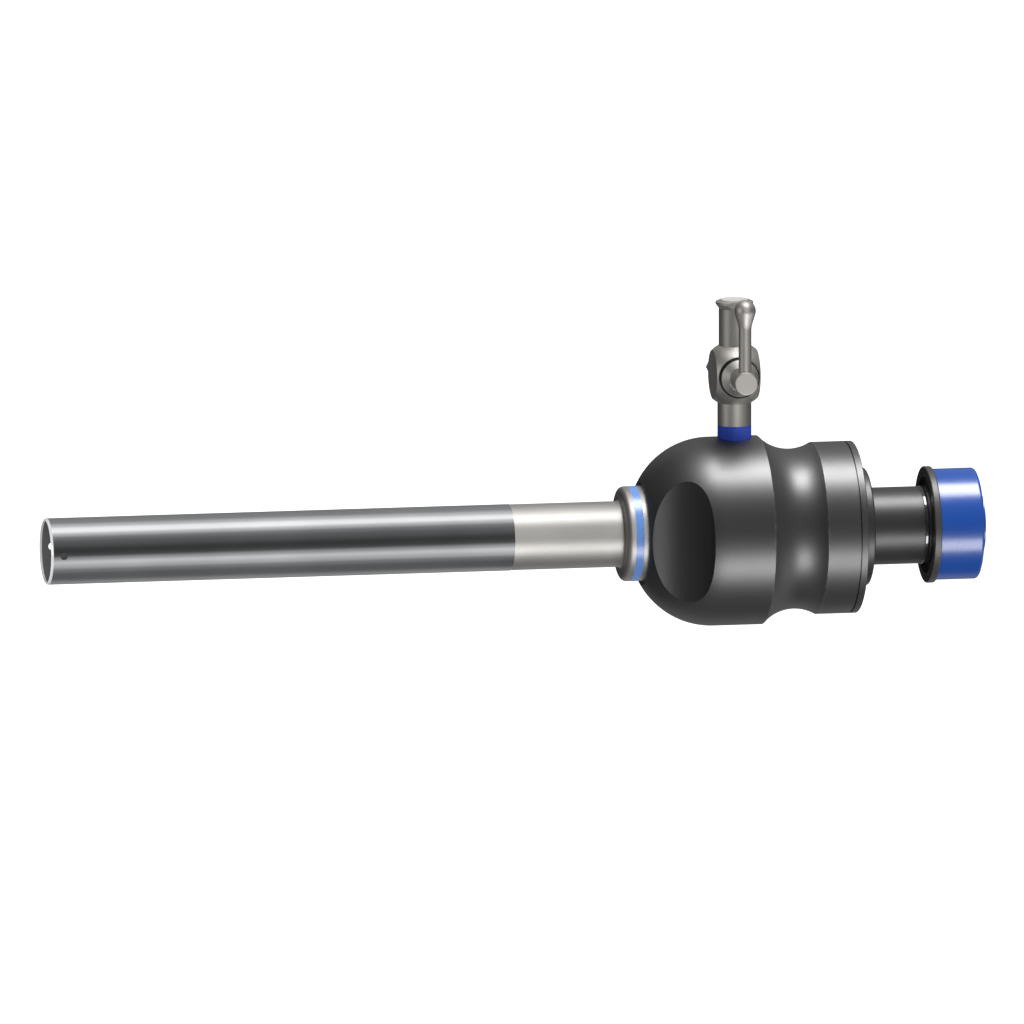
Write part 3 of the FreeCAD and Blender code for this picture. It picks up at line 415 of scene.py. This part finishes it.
FINISHES = {
    "cannula_tube": polished_steel,
    "cannula_hub": satin_hub,
    "hub_colour_ring": band_blue,
    "hub_oring": black_rubber,
    "valve_housing": housing_black,
    "valve_seat": plain_steel,
    "ring_magnet": plated_magnet,
    "seat_oring": black_rubber,
    "hinge_pin": plain_steel,
    "valve_flap": plain_steel,
    "flap_pad": seal_silicone,
    "pad_rivet": plain_steel,
    "rear_cover": housing_black,
    "cover_oring": black_rubber,
    "guide_tube": neck_black,
    "guide_oring": black_rubber,
    "neck_bead": bead_black,
    "neck_nut": neck_black,
    "cap_holder": holder_black,
    "lip_seal": seal_silicone,
    "seal_cap": cap_silicone,
    "neck_oring": black_rubber,
    "stopcock_body": satin_stopcock,
    "stem_oring": black_rubber,
    "stopcock_base_ring": ring_blue,
    "stopcock_plug": satin_plug,
    "lever": satin_lever,
    "plug_washer": plain_steel,
    "plug_nut": satin_lever,
}

for node_name, finish in FINISHES.items():
    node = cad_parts[node_name]
    node.data.materials.clear()
    node.data.materials.append(finish)


# Turned pieces whose shape is finer than the solid's

TURNED_SIDES = 160
SHARP_ANGLE = math.radians(35)


def show(name, data):
    """A new object for a mesh, a lamp or a camera, in the scene."""
    shown = bpy.data.objects.new(name, data)
    bpy.context.collection.objects.link(shown)
    return shown


def arc(centre_along, centre_radius, size, start, end, steps):
    """Points along an arc of a turned profile; the angles are in degrees from outward."""
    points = []
    for step in range(steps + 1):
        angle = math.radians(start + (end - start) * step / steps)
        points.append((centre_along + size * math.sin(angle),
                       centre_radius + size * math.cos(angle)))
    return points


def turned_piece(name, profile, along, place, finish, body, node_name):
    """Mesh turned from a closed profile of (along, radius) in mm, in place of a node."""
    shape = bmesh.new()
    rings = []
    for step, radius in profile:
        ring = []
        for side in range(TURNED_SIDES if radius else 1):
            angle = 2 * math.pi * side / TURNED_SIDES
            round_point = (radius * math.cos(angle), radius * math.sin(angle))
            point = (step, *round_point) if along == "X" else (*round_point, step)
            ring.append(shape.verts.new([(p + c) * MM for p, c in zip(point, place)]))
        rings.append(ring)
    for first, second in zip(rings, rings[1:] + rings[:1]):
        if len(first) == 1 and len(second) == 1:
            continue
        for side in range(TURNED_SIDES):
            corners = [first[side % len(first)], second[side % len(second)],
                       second[(side + 1) % len(second)], first[(side + 1) % len(first)]]
            shape.faces.new(list(dict.fromkeys(corners)))
    bmesh.ops.recalc_face_normals(shape, faces=shape.faces)
    mesh = bpy.data.meshes.new(name)
    shape.to_mesh(mesh)
    shape.free()
    mesh.shade_smooth()
    mesh.set_sharp_from_angle(angle=SHARP_ANGLE)
    mesh.materials.append(finish)
    piece = show(name, mesh)
    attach(piece, body)
    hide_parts(node_name)
    return piece


def pear_lever():
    """Round rod that swells into the pear-shaped knob without a crease."""
    rod, knob, fillet = 1.1, 1.86, 4.0
    top, slope = 14.35, 17.0
    ball = top - knob
    lean = math.radians(slope)
    cone_start = ball - knob * math.sin(lean)
    narrowing = knob * math.cos(lean) - rod
    meet = cone_start - narrowing / math.tan(lean)
    fillet_end = meet - fillet * math.tan(lean / 2)
    profile = [(0, 0), (0, rod)]
    profile += arc(fillet_end, rod + fillet, -fillet, 0, -slope, steps=8)
    profile += arc(ball, 0, knob, -slope, 88, steps=28)
    profile += [(top, 0)]
    return turned_piece("pear_lever", profile, "Z", (STOPCOCK_X, LEVER_Y, PLUG_AXIS_Z),
                        satin_lever, "plug", "lever")


def bead_band():
    """Polished band with rounded edges that stands a little proud of the neck."""
    half, edge, outside, inside = 0.4, 0.1, 6.745, 5.945
    front, rear = BEAD_X - half, BEAD_X + half
    profile = [(front, inside)]
    profile += arc(front + edge, outside - edge, edge, -90, 0, steps=5)
    profile += arc(rear - edge, outside - edge, edge, 0, 90, steps=5)
    profile += [(rear, inside)]
    return turned_piece("bead_band", profile, "X", (0, 0, 0), bead_black, "housing", "neck_bead")


knob_lever = pear_lever()
neck_band = bead_band()


# Camera, at the photograph's angle

def photo_camera():
    """Parallel view with the photograph's angle and scale."""
    across = Vector((math.cos(VIEW_AZIMUTH), math.sin(VIEW_AZIMUTH), 0))
    ahead = Vector((-math.sin(VIEW_AZIMUTH) * math.cos(VIEW_ELEVATION),
                    math.cos(VIEW_AZIMUTH) * math.cos(VIEW_ELEVATION),
                    -math.sin(VIEW_ELEVATION)))
    up = across.cross(ahead)
    half = IMAGE_SIDE / 2
    centre = (across * (half - MOUTH_PIXEL[0]) + up * (MOUTH_PIXEL[1] - half)) * PIXEL_MM * MM
    data = bpy.data.cameras.new("photo_camera")
    data.type = "ORTHO"
    data.ortho_scale = IMAGE_SIDE * PIXEL_MM * MM
    data.clip_start, data.clip_end = CAMERA_CLIP
    camera = show("photo_camera", data)
    turn = Matrix((across, up, -ahead)).transposed().to_4x4()
    camera.matrix_world = Matrix.Translation(centre - ahead * CAMERA_DISTANCE) @ turn
    bpy.context.scene.camera = camera


# Studio

def white_background(nodes, ambient):
    """Strength that is 1 where the background shows or is mirrored, ambient elsewhere."""
    path = nodes.add("ShaderNodeLightPath").outputs
    seen = nodes.math("MAXIMUM", path["Is Camera Ray"], path["Is Glossy Ray"])
    seen = nodes.math("MAXIMUM", seen, path["Is Transmission Ray"])
    return nodes.math("ADD", ambient, nodes.math("MULTIPLY", seen, 1 - ambient))


def studio_world():
    world = bpy.data.worlds.new("studio")
    world.use_nodes = True
    nodes = Shader(world.node_tree)
    background = world.node_tree.nodes["Background"]
    background.inputs["Color"].default_value = (1, 1, 1, 1)
    nodes.link(white_background(nodes, AMBIENT), background.inputs["Strength"])
    bpy.context.scene.world = world


def pale_floor():
    """Plain floor well under the object, which the camera sees as white."""
    mesh = bpy.data.meshes.new("floor")
    side = FLOOR_HALF_SIDE
    mesh.from_pydata([(-side, -side, 0), (side, -side, 0), (side, side, 0), (-side, side, 0)],
                     [], [(0, 1, 2, 3)])
    floor = show("floor", mesh)
    floor.location = (OBJECT_MIDDLE_X, 0, FLOOR_HEIGHT)
    material, nodes, surface = new_material("pale_floor")
    surface.inputs["Base Color"].default_value = (0.8, 0.8, 0.8, 1)
    surface.inputs["Roughness"].default_value = 0.9
    surface.inputs["Emission Color"].default_value = (1, 1, 1, 1)
    nodes.link(nodes.math("MULTIPLY", white_background(nodes, 0.0), FLOOR_GLOW),
               surface.inputs["Emission Strength"])
    mesh.materials.append(material)


# Radiance of the tent's cloth by elevation in degrees, before the object and behind it
FRONT_GLOW = ((-80, 0.2), (-62, 0.34), (-46, 0.8), (-31, 1.15), (-19, 0.6), (-6, 0.1),
              (10, 0.07), (38, 0.19), (54, 0.33), (68, 0.95), (80, 1.95))
REAR_GLOW = ((-80, 0.2), (-47, 0.42), (-25, 0.3), (-12, 0.06), (4, 0.06), (20, 0.32),
             (53, 0.42), (76, 1.0), (86, 1.7))


def glow_ramp(nodes, elevation, glow):
    """Grey of the tent's cloth at an elevation, from (degrees, radiance) pairs."""
    ramp = nodes.add("ShaderNodeValToRGB")
    ramp.color_ramp.interpolation = "EASE"
    stops = ramp.color_ramp.elements
    while len(stops) < len(glow):
        stops.new(0.5)
    for stop, (degrees, radiance) in zip(stops, glow):
        grey = radiance / TENT_STRENGTH
        stop.position = degrees / 180 + 0.5
        stop.color = (grey, grey, grey, 1)
    nodes.link(elevation, ramp.inputs["Fac"])
    return ramp.outputs["Color"]


def tent_cloth():
    """Cloth whose glow changes with height, dimmer at the mouth's end and below the rear."""
    material, nodes, surface = new_material("tent_cloth")
    place = nodes.split(nodes.place())
    along, across, height = [nodes.math("DIVIDE", place[axis], TENT_RADIUS) for axis in "XYZ"]
    turn = nodes.math("DIVIDE", nodes.math("ARCSINE", height), math.pi)
    elevation = nodes.math("ADD", turn, 0.5)
    behind = nodes.stretch(across, -0.2, 0.2, 0.0, 1.0)
    cloth = nodes.blend_colour(behind, glow_ramp(nodes, elevation, FRONT_GLOW),
                               glow_ramp(nodes, elevation, REAR_GLOW))
    mouth_end = nodes.stretch(along, -0.45, -0.1, 0.25, 1.0)
    below_rear = nodes.math("MULTIPLY", nodes.stretch(along, 0.12, 0.2, 0.0, 0.75),
                            nodes.stretch(elevation, 0.13, 0.22, 1.0, 0.0))
    dimming = nodes.math("MULTIPLY", mouth_end, nodes.lowered(below_rear))
    surface.inputs["Base Color"].default_value = (0, 0, 0, 1)
    surface.inputs["Specular IOR Level"].default_value = 0.0
    surface.inputs["Emission Strength"].default_value = TENT_STRENGTH
    nodes.link(nodes.scaled_vector(cloth, dimming), surface.inputs["Emission Color"])
    return material


def light_tent():
    """Round tent of graded cloth, which shows only in the object's reflections."""
    mesh = bpy.data.meshes.new("light_tent")
    shell = bmesh.new()
    bmesh.ops.create_uvsphere(shell, u_segments=96, v_segments=48, radius=TENT_RADIUS)
    shell.to_mesh(mesh)
    shell.free()
    mesh.shade_smooth()
    mesh.materials.append(tent_cloth())
    tent = show("light_tent", mesh)
    tent.location = (OBJECT_MIDDLE_X, 0, 0)
    tent.visible_camera = False
    tent.visible_diffuse = False
    tent.visible_shadow = False


def lit_group(name, node_names, pieces=()):
    """Pieces that one set of lamps is for."""
    group = bpy.data.collections.new(name)
    for node_name in node_names:
        group.objects.link(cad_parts[node_name])
    for piece in pieces:
        group.objects.link(piece)
    return group


def area_lamp(name, place, away, side, size, radiance, receivers):
    """Soft lamp of size (length along side, width) that shines against away."""
    length, width = size
    data = bpy.data.lights.new(name, "AREA")
    data.shape = "RECTANGLE"
    data.size = length
    data.size_y = width
    data.energy = radiance * math.pi * length * width
    lamp = show(name, data)
    side = (side - away * side.dot(away)).normalized()
    turn = Matrix((side, away.cross(side), away)).transposed().to_4x4()
    lamp.matrix_world = Matrix.Translation(place) @ turn
    lamp.light_linking.receiver_collection = receivers


def mirrored_lamp(name, target_x, elevation, distance, size, radiance, receivers):
    """Lamp along the cannula, placed where the viewer sees it mirrored at target_x."""
    angle = math.radians(elevation)
    sideways = math.tan(-VIEW_AZIMUTH)
    away = Vector((sideways, -math.cos(angle), math.sin(angle))).normalized()
    area_lamp(name, Vector((target_x, 0, 0)) + away * distance, away, Vector((1, 0, 0)),
              size, radiance, receivers)


def aimed_lamp(name, place, target, size, radiance, receivers):
    """Lamp at a place, turned to the target."""
    away = (Vector(place) - Vector(target)).normalized()
    area_lamp(name, Vector(place), away, Vector((0, 0, 1)).cross(away), size, radiance,
              receivers)


photo_camera()
studio_world()
pale_floor()
light_tent()

STOPCOCK_METAL = ("stopcock_body", "stopcock_plug", "lever", "plug_nut", "plug_washer")
SATIN = ("cannula_hub", *STOPCOCK_METAL)
POLISHED = ("cannula_tube",)
MOULDED = [name for name in FINISHES if name not in SATIN + POLISHED]

satin_group = lit_group("satin_parts", SATIN, [knob_lever])
stopcock_group = lit_group("stopcock_parts", STOPCOCK_METAL, [knob_lever])
gloss_group = lit_group("moulded_parts", MOULDED, [neck_band])
tube_group = lit_group("polished_parts", POLISHED)

# Name, place mirrored, elevation in degrees, distance, size, radiance, what it lights
for lamp in (
        ("gloss_over", 0.12, 84, 0.42, (0.24, 0.21), 19.5, gloss_group),
        ("gloss_low", 0.135, -36, 0.3, (0.17, 0.12), 10, gloss_group),
        ("satin_over", 0.11, 72, 0.42, (0.16, 0.18), 5, satin_group),
        ("satin_low", 0.11, -36, 0.3, (0.12, 0.1), 4, satin_group),
        ("satin_front", 0.11, 18, 0.42, (0.9, 0.65), 0.8, satin_group)):
    mirrored_lamp(*lamp)

# Name, place, target, size, radiance, what it lights
for lamp in (
        ("stopcock_side", (-0.27, -0.157, 0.135), (0.12, 0, 0.035), (0.5, 0.5), 0.9,
         stopcock_group),
        ("gloss_side", (0.5, -0.2, -0.07), (0.115, -0.012, 0), (0.2, 0.3), 2.5, gloss_group),
        ("mouth_lamp", (-0.16, -0.1, 0.03), (0, 0, 0), (0.06, 0.06), 12, tube_group)):
    aimed_lamp(*lamp)

bpy.context.scene.view_settings.view_transform = "Standard"
